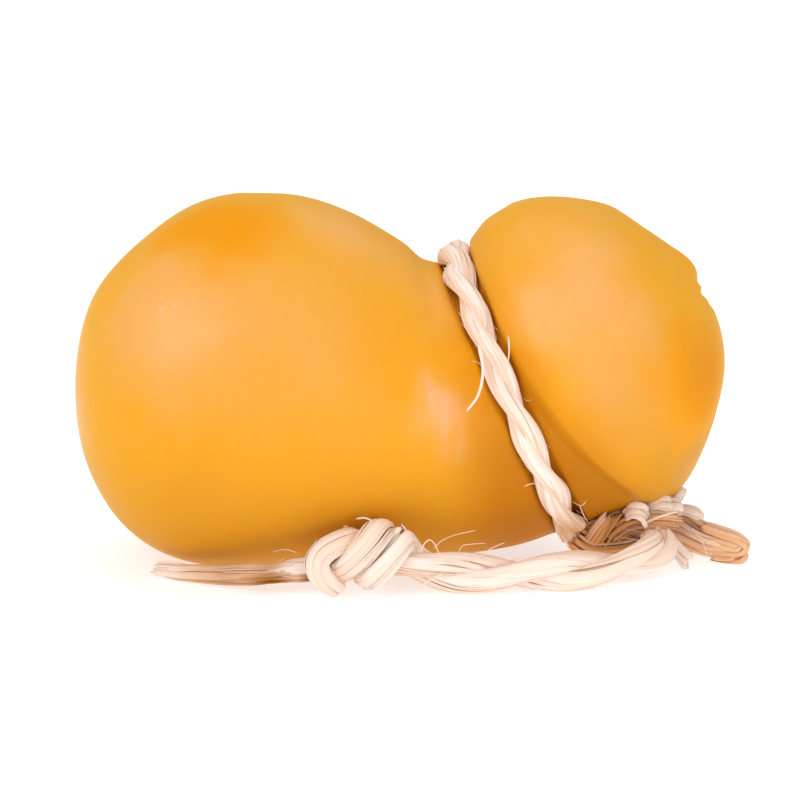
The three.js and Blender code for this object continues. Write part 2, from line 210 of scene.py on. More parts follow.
# Stray fibres on the loop, on the knot with the lead and tail, and at the tie: thickness, tint and places.
LOOP_STRAYS = (
    (0.42, 0.05, ((14.6, -30.5, 48.5), (15.4, -32.2, 43.8), (14.5, -32.0, 39.0), (12.2, -31.6, 35.6))),
    (0.2, 0.1, ((20.1, -32.2, 50.5), (20.3, -32.4, 47.7), (20.1, -31.0, 44.5))),
    (0.16, 0.3, ((26.2, -26.4, 20.6), (24.6, -28.4, 20.9), (23.3, -28.9, 20.4))),
    (0.16, 0.3, ((33.0, -21.0, 15.9), (34.8, -22.9, 15.4), (35.9, -23.0, 16.5))),
    (0.16, 0.3, ((34.4, -21.8, 15.6), (35.3, -22.6, 13.5), (36.3, -21.0, 11.6))),
    (0.13, 0.3, ((16.6, -30.2, 45.6), (17.6, -32.2, 46.6), (18.0, -32.8, 47.8))),
)
KNOT_STRAYS = (
    (0.3, 0.05, ((-4.6, -33.4, 14.2), (-6.8, -31.8, 15.0), (-8.9, -30.4, 14.5))),
    (0.16, 0.35, ((-11.4, -31.4, 12.0), (-10.7, -31.0, 13.4), (-9.8, -31.8, 12.2))),
    (0.26, 0.05, ((1.6, -33.2, 11.0), (0.8, -32.2, 12.8), (-0.2, -31.0, 13.8))),
    (0.18, 0.05, ((3.5, -33.5, 8.4), (4.3, -33.0, 10.2), (5.4, -32.5, 10.9), (6.4, -32.5, 9.9),
                  (7.3, -33.0, 7.8))),
    (0.15, 0.25, ((6.0, -31.0, 8.6), (7.6, -30.2, 10.1), (10.3, -28.5, 10.9), (14.5, -27.0, 11.5))),
    (0.13, 0.3, ((10.6, -31.0, 7.2), (11.6, -31.0, 9.3), (13.9, -30.0, 9.5), (16.4, -29.0, 9.4))),
    (0.15, 0.25, ((14.2, -31.0, 6.6), (17.0, -30.5, 8.6), (20.1, -29.5, 9.8))),
    (0.18, 0.1, ((-3.6, -36.2, 4.0), (-1.1, -37.0, 2.6), (0.6, -37.0, 1.7))),
    (0.24, 0.05, ((2.2, -36.0, 1.0), (3.5, -36.6, 2.7), (5.0, -36.6, 3.8), (8.0, -35.0, 5.0))),
    (0.13, 0.4, ((-20.0, -31.0, 8.0), (-22.4, -30.0, 8.4), (-25.0, -29.0, 7.6))),
    (0.14, 0.3, ((-42.0, -21.6, 3.4), (-45.0, -20.2, 3.6), (-48.2, -18.6, 3.1))),
)
TIE_STRAYS = (
    (0.34, 0.0, ((47.4, -14.0, 9.6), (50.9, -14.2, 11.2), (54.5, -13.0, 12.0))),
    (0.16, 0.1, ((58.2, -2.6, 6.4), (59.9, -5.0, 4.2), (60.7, -5.5, 2.7), (61.4, -5.0, 0.7))),
    (0.14, 0.4, ((40.6, -12.2, 7.6), (43.6, -14.0, 8.6), (46.8, -14.4, 8.2))),
    (0.14, 0.4, ((41.6, -11.6, 6.6), (44.0, -14.6, 7.0), (48.0, -15.6, 6.4))),
)
# Tufts of pale ribbon ends at the tie: ribbons, tint, half-width and places.
TIE_TUFTS = (
    (10, 0.0, 1.1, ((43.9, -12.8, 11.0), (45.3, -14.0, 12.5), (47.1, -14.0, 12.2), (48.2, -13.0, 10.4))),
    (10, 0.0, 1.0, ((47.6, -10.0, 11.0), (49.5, -11.0, 12.6), (51.5, -11.0, 12.9), (53.6, -10.0, 12.2))),
    (10, 0.05, 1.0, ((50.5, -6.0, 10.4), (52.5, -7.0, 11.8), (54.4, -6.5, 12.0), (56.0, -5.0, 11.4))),
    (10, 0.0, 0.9, ((53.3, -4.0, 10.6), (54.7, -4.0, 12.2), (56.0, -3.0, 13.2), (56.8, -2.0, 13.8))),
    (10, 0.0, 0.9, ((55.0, -1.0, 8.6), (56.5, -1.0, 9.4), (58.4, -1.6, 9.1), (60.2, -2.2, 8.3))),
    (9, 0.0, 0.9, ((52.6, -8.2, 5.6), (53.8, -9.0, 4.2), (55.3, -10.0, 2.6), (56.6, -11.0, 1.2))),
)

# Where the rind is painted pale, partly its paler tone and partly painted sheen, and where it is clear and
# full amber, with painted glow in the fold beside the rope: place, reach and weight.
PALE_SHEEN_PATCHES = (
    ((-43, -31, 53), 26, 0.75),
    ((-10, -12, 68), 16, 0.5),
    ((8, -16, 58), 14, 0.4),
    ((-20, -34, 49), 26, 0.35),
    ((12.6, -29, 46.5), 3.5, 0.4),
    ((8.2, -30, 35), 9, 0.3),
    ((34, -31, 54), 22, 0.75),
    ((33, -20, 65), 18, 0.5),
    ((46, -28, 38), 14, 0.25),
    ((-63, -10, 36), 18, 0.45),
    ((-30, 33, 52), 26, 0.6),
    ((40, 30, 45), 24, 0.55),
)
HONEY_AND_GLOW_PATCHES = (
    ((-32.5, -17, 69), 18, 1.5),
    ((58.5, -17, 41), 19, 1.2),
    ((25, -27, 42), 8, 0.5),
)
# Stretch marks that run down the shoulder beside the rope, and a few small blisters, both partly painted
# highlight.
BLOOM_AND_HIGHLIGHT_PATCHES = (
    ((4.6, -31, 44), 4.5, 0.2),
    ((6.0, -31, 40), 5.5, 0.45),
    ((7.6, -30.5, 35), 6.5, 0.6),
    ((9.4, -30, 29), 6.0, 0.3),
    ((-45.4, -30, 55.0), 1.3, 0.9),
    ((-44.8, -30.5, 53.4), 1.0, 0.7),
    ((-42.8, -30.6, 56.2), 1.1, 0.7),
    ((-39.6, -30.8, 57.8), 0.9, 0.6),
)
# More painted shade, in a dent of the head and beside the rope, added to that in the folds beside the rope.
RUSSET_SHADE_PATCHES = (
    ((60, -15, 41), 15, 0.18),
    ((25, -27, 42), 9, 0.25),
)
# Painted shade low on the belly, at its left end, and on the neck and head under the head's overhang.
LOW_SHADE_PATCHES = (
    ((-40, -34, 18), 18, 0.12),
    ((-63, -12, 34), 16, 0.12),
    ((50, -27, 27), 16, 0.24),
    ((60, -14, 24), 13, 0.4),
    ((44, -27, 44), 16, 0.15),
    ((40, -31, 37), 13, 0.2),
)

# Where the raffia is tan: painted shade and orange bounce at the foot of the loop and painted shade in the
# knot's eye, or paler where the weight is negative; and where it is darker brown: at the tie, and as
# painted shade in the tail's crease and under it.
TAN_AND_SHADE_PATCHES = (
    ((37, -8, 8), 18, 0.25),
    ((33, -19, 10), 11, 0.5),
    ((-19.5, -32, 5.4), 6, -0.8),
    ((-46, -20.5, 2), 9, -0.6),
    ((-11, -36, 5.2), 3.5, 0.5),
)
STAIN_AND_SHADE_PATCHES = (
    ((44, -12, 9), 9, 0.65),
    ((-25, -33.2, 2.2), 7, 1.0),
    ((-17.5, -34, 3.4), 3, 1.0),
    ((-33, -28, 2.6), 9, 0.4),
)

# A strand's broad ribbons and fine fibres, as shares of its radius: half-width, thickness, and how far out
# they lie. Ribbons also have a cup, uneven gaps, and a mean and spread of tint. A core fills the strand;
# its tan tint is painted shade in the gaps between ribbons.
RIBBON = {"width": (0.28, 0.56), "thick": (0.09, 0.15), "depth": (0.9, 1.02), "cup": 0.5,
          "gaps": (-0.3, 0.3), "shade": (0.02, 0.11)}
FIBRE = {"width": (0.035, 0.06), "depth": (0.99, 1.05)}
CORE = {"share": 0.8, "tint": 0.35}
# Points round a ribbon, and how it narrows to its ends.
RIBBON_SIDES = 8
RIBBON_ENDS = (0.0, 0.8, 1.0)
# How a ribbon drifts along its strand or bundle: pace, reach and the row of noise.
DRIFT = {"turn": (0.06, 0.5, 0.0), "lift": (0.09, 0.05, 7.0), "width": (0.05, 0.4, 3.0),
         "loose": (0.08, 1.0, 0.0)}
# Loose ribbons of a bundle: thickness, cup, taper, how far they sway, how they lean at the sides and as
# they sway, and how much darker the lower ones are, as painted shade under the bundle. One in three runs to
# the end, the rest are shorter.
LOOSE = {"thick": (0.14, 0.28), "cup": 0.1, "taper": 0.6, "sway": 0.35, "lean": (0.9, 0.8), "shade": 0.3,
         "whole": 3, "short": (0.3, 1.0)}
# Ribbons of a tuft: thickness, spread, how they fan out, which way they face and how that varies, spacing
# of sections, widths and tints.
TUFT = {"thick": 0.14, "spread": (0.35, 0.6, 0.45), "fan": (0.6, 1.3), "facing": (-0.8, 0.6), "lean": 0.3,
        "spacing": 0.6, "widths": (0.5, 1.0), "tints": (0.0, 0.2)}
# Stray fibres: spacing of sections, taper and thickness as a share of the width.
STRAY = {"spacing": 0.5, "taper": 0.5, "flat": 0.6}
# Short fibres that stand off the rope: thickness, length, where they start, lean, bend and tints.
FUZZ = {"thick": (0.05, 0.09), "length": (0.5, 1.1), "root": 0.42, "lean": (0.6, 1.6), "bend": 0.3,
        "tints": (0.0, 0.4)}
# Points worked out between two places of a curve, before they are spaced evenly.
CURVE_STEPS = 14
# The rope's lowest place above the floor.
FLOOR_LEVEL = 0.08

# Looks of the loose bundles: ribbons, how uneven their ends are, steps past the line, half-widths, tints,
# and half the bundle's width and height along it.
TAIL_BUNDLE = {"count": 36, "fray": 0.12, "over": 2, "widths": (0.6, 1.2), "tints": (0.45, 0.95),
               "wide": (1.0, 1.9, 2.0, 2.0), "tall": (1.3, 2.1, 1.6, 1.2)}
SHORT_BUNDLE = {"count": 60, "fray": 0.08, "over": 0, "widths": (0.4, 0.9), "tints": (0.5, 1.0),
                "wide": (2.0, 2.4, 3.2, 3.4, 2.6), "tall": (2.0, 2.4, 3.8, 3.0, 2.3)}
TIE_BUNDLE = {"fray": 0.14, "over": 0, "widths": (0.3, 0.7)}
# How tan each rope is: 0 is cream and 1 is tan.
TINTS = {"lead": 0.08, "end_knot": 0.04, "short_end": 0.6, "neck_loop": 0.06, "neck_tie": 0.3}
# Each rope's own random draws.
SEEDS = {"lead": 11, "end_knot": 12, "tail": 13, "short_end": 14, "neck_loop": 15, "neck_tie": 16}

# Layout of the rind's colours, in metres: the valley at the rope, painted with shade and glow, from both
# sides and downward, how its sides slant, how high the painted shade low on the cheese reaches, and where
# the sheen begins.
VALLEY = {"left": (-16 * MM, -3 * MM), "right": (4 * MM, 15 * MM), "down": (-14 * MM, 10 * MM),
          "slants": (0.3, 0.25)}
SHADE_HEIGHT = 34 * MM
SHEEN_HEIGHT = (4 * MM, 22 * MM)
# Uneven borders of the patches: scale, and how far they stray.
PATCH_DRIFT = (45.0, 24 * MM)
# Noise in the rind and in the raffia: scale and detail.
RIND_NOISE = {"cloud": (38.0, 3.0), "marks": (420.0, 2.0), "smoke_and_shade": (21.0, 2.0), "grain": (900.0, 3.0),
              "oil": (60.0, 2.0)}
RAFFIA_NOISE = {"streak": (5.0, 4.0), "weather": (120.0, 2.0)}

# The soft lights: place, aim and size, in metres. Where the aim is None, it is the camera's.
LIGHTS = {
    "key": ((-0.55, -0.75, 0.62), None, (0.8, 0.7)),
    "fill": ((0.7, -0.6, 0.45), None, (0.6, 0.6)),
    "low": ((0.13, -0.22, 0.035), (0.05, -0.01, 0.008), (0.12, 0.06)),
    "top": ((0.0, 0.15, 0.95), None, (1.2, 1.0)),
}
# The floor: grey level, glow under the cheese and far from it, and the distances between which it changes.
FLOOR = {"grey": 0.58, "near_glow": 0.62, "far_glow": 0.75, "near": 0.06, "far": 0.5}


class ScamorzaRind(PropertyGroup):
    """Sizes and colours of the cheese's smoked rind"""

    around: IntProperty(
        name="Points around", description="Points round the cheese", default=224, min=48)
    rings: IntProperty(
        name="Rings", description="Rings along the cheese", default=200, min=40)
    undulation: FloatProperty(
        name="Undulation", description="Height of the rind's broad unevenness, in millimetres",
        default=0.22, min=0.0)
    gathers: FloatProperty(
        name="Gathers", description="Height of the folds that run into the rope, in millimetres",
        default=0.35, min=0.0)
    amber: FloatVectorProperty(
        name="Amber", description="Colour of the smoked rind", subtype="COLOR",
        default=(0.82, 0.37, 0.02), min=0.0, max=1.0)
    # The pale colour is partly the rind's paler tone and partly painted sheen.
    pale: FloatVectorProperty(
        name="Pale", description="Colour where the rind is stretched thin", subtype="COLOR",
        default=(0.84, 0.43, 0.14), min=0.0, max=1.0)
    # The deep colour is painted shade, darker towards the bottom of the cheese and under the head.
    deep: FloatVectorProperty(
        name="Deep", description="Colour where smoke has settled most", subtype="COLOR",
        default=(0.48, 0.185, 0.004), min=0.0, max=1.0)
    # The russet colour is painted shade in the folds beside the rope.
    russet: FloatVectorProperty(
        name="Russet", description="Colour in the folds beside the rope", subtype="COLOR",
        default=(0.42, 0.115, 0.0), min=0.0, max=1.0)
    # Honey also stands for painted glow, where light would shine through the upper folds beside the rope.
    honey: FloatVectorProperty(
        name="Honey", description="Colour where the rind is clear and shows the cheese", subtype="COLOR",
        default=(0.84, 0.31, 0.0), min=0.0, max=1.0)
    # The bloom colour is partly the stretch marks and blisters and partly a painted highlight.
    bloom_and_highlight: FloatVectorProperty(
        name="Bloom", description="Colour of the pinkish stretch marks", subtype="COLOR",
        default=(0.88, 0.48, 0.32), min=0.0, max=1.0)
    roughness: FloatProperty(
        name="Roughness", description="Roughness of the waxy surface", subtype="FACTOR",
        default=0.42, min=0.0, max=1.0)
    glow: FloatProperty(
        name="Glow", description="Share of light that passes through the rind", subtype="FACTOR",
        default=0.6, min=0.0, max=1.0)
    glow_depth: FloatProperty(
        name="Glow depth", description="How far light goes into the cheese", unit="LENGTH",
        default=0.005, min=0.0)


class ScamorzaRope(PropertyGroup):
    """Sizes and colours of the raffia rope"""

    ribbons: IntProperty(
        name="Ribbons", description="Flat ribbons of raffia in each strand", default=10, min=3)
    fibres: IntProperty(
        name="Fibres", description="Fine fibres on each strand", default=8, min=0)
    fuzz: IntProperty(
        name="Fuzz", description="Short fibres that stand off each stretch of rope", default=45, min=0)
    spacing: FloatProperty(
        name="Spacing", description="Distance between sections along the rope, in millimetres",
        default=0.9, min=0.2)
    counter_twist: FloatProperty(
        name="Counter twist", description="Turns of a strand's ribbons for each turn of the rope",
        default=0.35)
    cream: FloatVectorProperty(
        name="Cream", description="Colour of clean raffia", subtype="COLOR",
        default=(0.95, 0.82, 0.735), min=0.0, max=1.0)
    # The stained colour is darker brown at the tie and painted shade in the tail's crease and under it.
    stained_and_shaded: FloatVectorProperty(
        name="Stained", description="Colour of raffia that smoke has stained", subtype="COLOR",
        default=(0.36, 0.13, 0.015), min=0.0, max=1.0)
    tan: FloatVectorProperty(
        name="Tan", description="Colour of dry, weathered raffia", subtype="COLOR",
        default=(0.80, 0.41, 0.16), min=0.0, max=1.0)
    roughness: FloatProperty(
        name="Roughness", description="Roughness of the dry fibre", subtype="FACTOR",
        default=0.7, min=0.0, max=1.0)


class ScamorzaStage(PropertyGroup):
    """Camera, floor and lights"""

    aim: FloatVectorProperty(
        name="Aim", description="Point that the camera looks at", subtype="TRANSLATION", unit="LENGTH",
        default=(-0.0003, 0.0, 0.0318))
    elevation: FloatProperty(
        name="Elevation", description="Angle of the camera above the floor", subtype="ANGLE",
        default=math.radians(11.0))
    distance: FloatProperty(
        name="Distance", description="Distance of the camera from its aim", unit="LENGTH", default=0.62)
    lens: FloatProperty(
        name="Lens", description="Focal length on a 36 mm sensor, in millimetres", default=139.5)
    floor_size: FloatProperty(
        name="Floor", description="Length of the floor's side", unit="LENGTH", default=8.0)
    sky: FloatProperty(
        name="Sky", description="Strength of the even white surround", default=0.55, min=0.0)
    key: FloatProperty(
        name="Key", description="Power of the large soft light at the front left, in watts", default=4.0)
    fill: FloatProperty(
        name="Fill", description="Power of the soft light at the front right, in watts", default=0.2)
    low: FloatProperty(
        name="Low", description="Power of the small light near the floor, in watts", default=0.1)
    top: FloatProperty(
        name="Top", description="Power of the soft light overhead, in watts", default=3.5)


def lerp(low, high, share):
    return low + (high - low) * share


def smoothstep(value, low, high):
    share = min(max((value - low) / (high - low), 0.0), 1.0)
    return share * share * (3.0 - 2.0 * share)


def bell(distance, reach):
    return math.exp(-((distance / reach) ** 2))


def catmull_rom(points, share):
    """Point on the smooth curve through the points, at a share of the way along it."""
    last = len(points) - 1
    index = min(int(share * last), last - 1)
    step = share * last - index
    here, there = points[index], points[index + 1]
    before = points[index - 1] if index > 0 else here * 2 - there
    after = points[index + 2] if index + 2 <= last else there * 2 - here
    return 0.5 * (
        here * 2
        + (there - before) * step
        + (before * 2 - here * 5 + there * 4 - after) * step ** 2
        + (here * 3 - before - there * 3 + after) * step ** 3
    )


class Field:
    """A socket of a material's node tree that can be used in Python expressions."""

    def __init__(self, tree, socket=None):
        self.tree = tree
        self.socket = socket

    def node(self, kind, settings=(), sockets=(), output=0):
        """Adds a node: its settings first, then the values or links of its sockets."""
        made = self.tree.nodes.new(kind)
        for name, value in dict(settings).items():
            setattr(made, name, value)
        for key, value in dict(sockets).items():
            if isinstance(value, Field):
                self.tree.links.new(value.socket, made.inputs[key])
            else:
                made.inputs[key].default_value = value
        return Field(self.tree, made.outputs[output])

    def math(self, operation, *values):
        return self.node("ShaderNodeMath", {"operation": operation}, enumerate((self, *values)))

    def __add__(self, other):
        return self.math("ADD", other)

    __radd__ = __add__

    def __sub__(self, other):
        return self.math("SUBTRACT", other)

    def __rsub__(self, other):
        return (self * -1.0) + other

    def __mul__(self, other):
        return self.math("MULTIPLY", other)

    def clamped(self):
        return self.node("ShaderNodeClamp", (), {"Value": self})

    def ramp(self, low, high, start=0.0, end=1.0):
        """Runs smoothly from start to end as this value goes from low to high."""
        return self.node(
            "ShaderNodeMapRange", {"interpolation_type": "SMOOTHSTEP"},
            {"Value": self, "From Min": low, "From Max": high, "To Min": start, "To Max": end})

    def noise(self, scale, detail):
        """Smooth noise from 0 to 1 at this place."""
        return self.node(
            "ShaderNodeTexNoise", (), {"Vector": self, "Scale": scale, "Detail": detail})

    def stretched(self, scale):
        return self.node("ShaderNodeMapping", (), {"Vector": self, "Scale": scale})

    def offset(self, place):
        return self.node("ShaderNodeVectorMath", {"operation": "SUBTRACT"}, {0: self, 1: place})

    def dot(self, direction):
        return self.node(
            "ShaderNodeVectorMath", {"operation": "DOT_PRODUCT"}, {0: self, 1: direction}, "Value")

    def astray(self, scale, reach):
        """This place moved a little, so that what is laid out on it has uneven borders."""
        drift = self.node(
            "ShaderNodeTexNoise", (), {"Vector": self, "Scale": scale, "Detail": 3.0}, "Color")
        middle = self.offset((reach / 2, reach / 2, reach / 2))
        return self.node(
            "ShaderNodeVectorMath", {"operation": "MULTIPLY_ADD"},
            {0: drift, 1: (reach, reach, reach), 2: middle})

    def patch(self, place, reach):
        """One at a place on the piece, in millimetres, and nothing beyond its reach."""
        centre = Vector(place) * MM
        away = self.node(
            "ShaderNodeVectorMath", {"operation": "DISTANCE"}, {0: self, 1: centre}, "Value")
        return away.ramp(0.0, reach * MM, 1.0, 0.0)

    def patches(self, places):
        """The sum of several patches, each with its own weight."""
        return sum(self.patch(place, reach) * weight for place, reach, weight in places)

    def mixed(self, first, second):
        """A colour between two others, at this share."""
        return self.node("ShaderNodeMix", {"data_type": "RGBA"}, {"Factor": self, 6: first, 7: second}, 2)

    def bump(self, strength, distance):
        return self.node(
            "ShaderNodeBump", (), {"Height": self, "Strength": strength, "Distance": distance})


def new_material(name):
    """A material with one shader, its first field and a function that sets the shader's sockets."""
    material = bpy.data.materials.new(name)
    material.use_nodes = True
    tree = material.node_tree
    shader = tree.nodes["Principled BSDF"]

    def finish(**sockets):
        for key, value in sockets.items():
            socket = shader.inputs[key.replace("_", " ")]
            if isinstance(value, Field):
                tree.links.new(value.socket, socket)
            else:
                socket.default_value = value

    return material, Field(tree), finish


def opaque(colour):
    return (*colour, 1.0)


def rind_material(rind):
    """Waxy smoked rind: amber with paler places that are partly painted sheen, painted shade in the folds
    beside the rope and low on the cheese, and a little light inside it.
    """
    material, start, finish = new_material("waxy_rind")
    place = start.node("ShaderNodeTexCoord", output="Object")
    cloud = place.noise(*RIND_NOISE["cloud"])
    uneven = place.astray(*PATCH_DRIFT)
    # Painted sheen, partly also paler rind, laid out in soft patches.
    pale = uneven.patches(PALE_SHEEN_PATCHES) * (cloud * 0.7 + 0.65)
    height = start.node("ShaderNodeSeparateXYZ", (), {"Vector": place}, "Z")
    along = place.offset(WAIST_CENTRE * MM).dot(WAIST_AXIS)
    below = WAIST["z"] * MM - height
    left_slant, right_slant = VALLEY["slants"]
    left_side = (along + below * left_slant).ramp(*VALLEY["left"])
    right_side = (along - below * right_slant).ramp(*VALLEY["right"], 1.0, 0.0)
    valley = left_side * right_side
    deepness = below.ramp(*VALLEY["down"])
    # Clear amber in the honey patches, and painted glow in the upper folds beside the rope.
    clear_and_glowing = (uneven.patches(HONEY_AND_GLOW_PATCHES) + valley * (1.0 - deepness) * 0.6).clamped()
    pale = pale.clamped() * (1.0 - clear_and_glowing) * (1.0 - valley * 0.7)
    marks = place.stretched((1.0, 1.0, 0.12)).noise(*RIND_NOISE["marks"]).ramp(0.3, 0.75)
    # Stretch marks and blisters, partly painted highlight.
    bloom_and_highlight = place.patches(BLOOM_AND_HIGHLIGHT_PATCHES) * (marks * 0.7 + 0.3)
    # Painted shade towards the bottom and in the shade patches, with random darker mottling.
    smoke_and_shade = height.ramp(0.0, SHADE_HEIGHT, 1.0, 0.0) * 0.54
    smoke_and_shade = smoke_and_shade + place.noise(*RIND_NOISE["smoke_and_shade"]).ramp(0.5, 0.8) * 0.15
    smoke_and_shade = smoke_and_shade + uneven.patches(LOW_SHADE_PATCHES)
    tone = smoke_and_shade.clamped().mixed(opaque(rind.amber), opaque(rind.deep))
    tone = clear_and_glowing.mixed(tone, opaque(rind.honey))
    # Painted shade in the folds beside the rope, darker lower down, and in the russet patches.
    crease_shade = valley * (deepness * 0.4 + 0.2) + place.patches(RUSSET_SHADE_PATCHES)
    tone = crease_shade.mixed(tone, opaque(rind.russet))
    tone = pale.mixed(tone, opaque(rind.pale))
    tone = bloom_and_highlight.clamped().mixed(tone, opaque(rind.bloom_and_highlight))
    grain = place.noise(*RIND_NOISE["grain"])
    oil = place.noise(*RIND_NOISE["oil"])
    finish(
        Base_Color=tone,
        Roughness=oil * 0.14 + (rind.roughness - 0.07),
        Normal=grain.bump(0.12, 0.0003),
        Specular_IOR_Level=0.05,
        Coat_Weight=(pale * 0.9 + 0.06).clamped() * (1.0 - clear_and_glowing) * height.ramp(*SHEEN_HEIGHT),
        Coat_Roughness=0.36,
        Subsurface_Weight=rind.glow,
        Subsurface_Radius=(1.0, 0.42, 0.1),
        Subsurface_Scale=rind.glow_depth,
        IOR=1.45,
    )
    return material


def raffia_material(rope):
    """Dry raffia: cream ribbons with tan streaks along them, darker edges as painted shade between ribbons,
    and painted shade where the rope lies in shadow.
    """
    material, start, finish = new_material("dry_raffia")
    along = start.node("ShaderNodeTexCoord", output="UV")
    place = start.node("ShaderNodeTexCoord", output="Object")
    tint = start.node("ShaderNodeAttribute", {"attribute_name": "tint"}, output="Fac")
    across = start.node("ShaderNodeSeparateXYZ", (), {"Vector": along}, "Y")
    # The ribbons' edges are tinted tan as painted shade in the creases between ribbons.
    edge = (across * (2 * math.pi)).math("COSINE").math("ABSOLUTE").ramp(0.82, 1.0)
    streak = along.stretched((3.0, 14.0, 1.0)).noise(*RAFFIA_NOISE["streak"])
    weathered_and_shaded = place.noise(*RAFFIA_NOISE["weather"]).ramp(0.55, 0.8) * 0.12
    # Weathering noise, with painted shade and bounce in the tan patches.
    weathered_and_shaded = weathered_and_shaded + place.patches(TAN_AND_SHADE_PATCHES)
    share = (tint + streak.ramp(0.45, 0.8) * 0.3 + weathered_and_shaded + edge * 0.2).clamped()
    tone = share.mixed(opaque(rope.cream), opaque(rope.tan))
    # Darker brown at the tie, and painted shade in the tail's crease and under it.
    stain_and_shade = place.patches(STAIN_AND_SHADE_PATCHES) * (tint + streak * 0.5).ramp(0.4, 0.9)
    finish(
        Base_Color=stain_and_shade.clamped().mixed(tone, opaque(rope.stained_and_shaded)),
        Roughness=streak * 0.2 + (rope.roughness - 0.1),
        Normal=streak.bump(0.3, 0.0003),
        Specular_IOR_Level=0.3,
        IOR=1.4,
    )
    return material


def shared_material(name, make, settings):
    """The material of that name, made once."""
    return bpy.data.materials.get(name) or make(settings)


def face_outward(bm):
    """Turns the faces of closed shapes outward."""
    bmesh.ops.recalc_face_normals(bm, faces=bm.faces)
    if bm.calc_volume(signed=True) < 0:
        bmesh.ops.reverse_faces(bm, faces=bm.faces)
    bm.normal_update()


def finish_piece(name, bm, material, node):
    """Makes an object of a bmesh in millimetres, hangs it from the root body and hides the solid model's
    part that it replaces.
    """
    face_outward(bm)
    bmesh.ops.scale(bm, vec=(MM, MM, MM), verts=bm.verts)
    for face in bm.faces:
        face.smooth = True
    mesh = bpy.data.meshes.new(name)
    bm.to_mesh(mesh)
    bm.free()
    mesh.materials.append(material)
    piece = bpy.data.objects.new(name, mesh)
    bpy.context.scene.collection.objects.link(piece)
    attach(piece, "root")
    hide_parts(node)
    return piece


# The waist's own frame: its axis points along the neck to the head, and up is across it.
WAIST_LEAN = math.radians(WAIST["lean"])
WAIST_CENTRE = Vector((WAIST["x"], 0.0, WAIST["z"]))
WAIST_AXIS = Vector((math.cos(WAIST_LEAN), 0.0, math.sin(WAIST_LEAN)))
WAIST_UP = Vector((-math.sin(WAIST_LEAN), 0.0, math.cos(WAIST_LEAN)))


def on_head(along, rise):
    return WAIST_CENTRE + WAIST_AXIS * along + WAIST_UP * rise


LOBES = {"belly": Vector((BELLY["x"], 0.0, BELLY["z"])), "head": on_head(HEAD["along"], HEAD["rise"])}
# The share of the rings that each cap has.
CAP_SHARE = 0.25


def cap_outline(share, fullness):
    """How far out along a cap a rib is, and its radius, both as shares."""
    angle = share * math.pi / 2
    return max(math.cos(angle), 0.0) ** (2 / fullness), max(math.sin(angle), 0.0) ** (2 / fullness)


def body_stations():
    """Centre and lean-and-radius of the ribs between the two caps."""
    ribs = [{**BELLY, "lean": 0.0}, *SHOULDER, WAIST]
    stations = [(Vector((rib["x"], 0.0, rib["z"])), Vector((rib["lean"], rib["radius"]))) for rib in ribs]
    for rib in (*NECK, HEAD):
        stations.append((on_head(rib["along"], rib["rise"]), Vector((WAIST["lean"], rib["radius"]))))
    return [station[0] for station in stations], [station[1] for station in stations]


def rib_at(share, stations):
    """Centre, lean and radius of the cheese's rib, from the belly's end at 0 to the head's at 1."""
    if share < CAP_SHARE:
        along, radius = cap_outline(share / CAP_SHARE, BELLY["fullness"])
        centre = Vector((BELLY["x"] - BELLY["cap"] * along, 0.0, BELLY["z"] - BELLY["sag"] * along))
        return centre, 0.0, BELLY["radius"] * radius
    if share > 1 - CAP_SHARE:
        along, radius = cap_outline((1 - share) / CAP_SHARE, HEAD["fullness"])
        rise = HEAD["rise"] - HEAD["nod"] * along ** HEAD["bend"]
        return on_head(HEAD["along"] + HEAD["cap"] * along, rise), WAIST["lean"], HEAD["radius"] * radius
    middle = (share - CAP_SHARE) / (1 - 2 * CAP_SHARE)
    size = catmull_rom(stations[1], middle)
    return catmull_rom(stations[0], middle), size.x, size.y


def from_waist(point):
    """How far along the waist's axis a point is, its offset from it, and how far up that points."""
    offset = point - WAIST_CENTRE
    along = offset.dot(WAIST_AXIS)
    across = offset - WAIST_AXIS * along
    radius = max(across.length, 1e-6)
    return along, across, radius, across.dot(WAIST_UP) / radius


def fold_under_head(point):
    """Keeps the neck slim as far as a crease that slants away from the rope under the head."""
    along, across, radius, upness = from_waist(point)
    if along < 0:
        return point
    lowness = max(1 - upness, 0.0) / 2
    crease = lerp(FOLD["top_crease"], FOLD["bottom_crease"], lowness ** FOLD["slant"])
    width = lerp(FOLD["top_width"], FOLD["bottom_width"], lowness)
    slim = lerp(FOLD["front"], FOLD["below"], smoothstep(lowness, FOLD["below_from"], 1.0))
    share = smoothstep(along, crease, crease + width)
    return point + across * (lerp(min(slim, radius), radius, share) / radius - 1)


def press_dents(point):
    for lobe, place, depth, reach in DENTS:
        inward = (LOBES[lobe] - point).normalized()
        point = point + inward * depth * bell((point - Vector(place)).length, reach)
    return point


def press_groove(point):
    """Presses the rope's round groove into the waist, with a rounded rim."""
    along, across, radius, _ = from_waist(point)
    beside = abs(along)
    inside = min(beside / GROOVE["radius"], 1.0)
    floor = LOOP_RADIUS - GROOVE["radius"] * math.sqrt(1 - inside ** 2)
    limit = floor + GROOVE["wall"] * max(beside - GROOVE["radius"], 0.0)
    mix = max(GROOVE["rim"] - abs(limit - radius), 0.0) / GROOVE["rim"]
    return point + across * ((min(limit, radius) - mix ** 2 * GROOVE["rim"] / 4) / radius - 1)


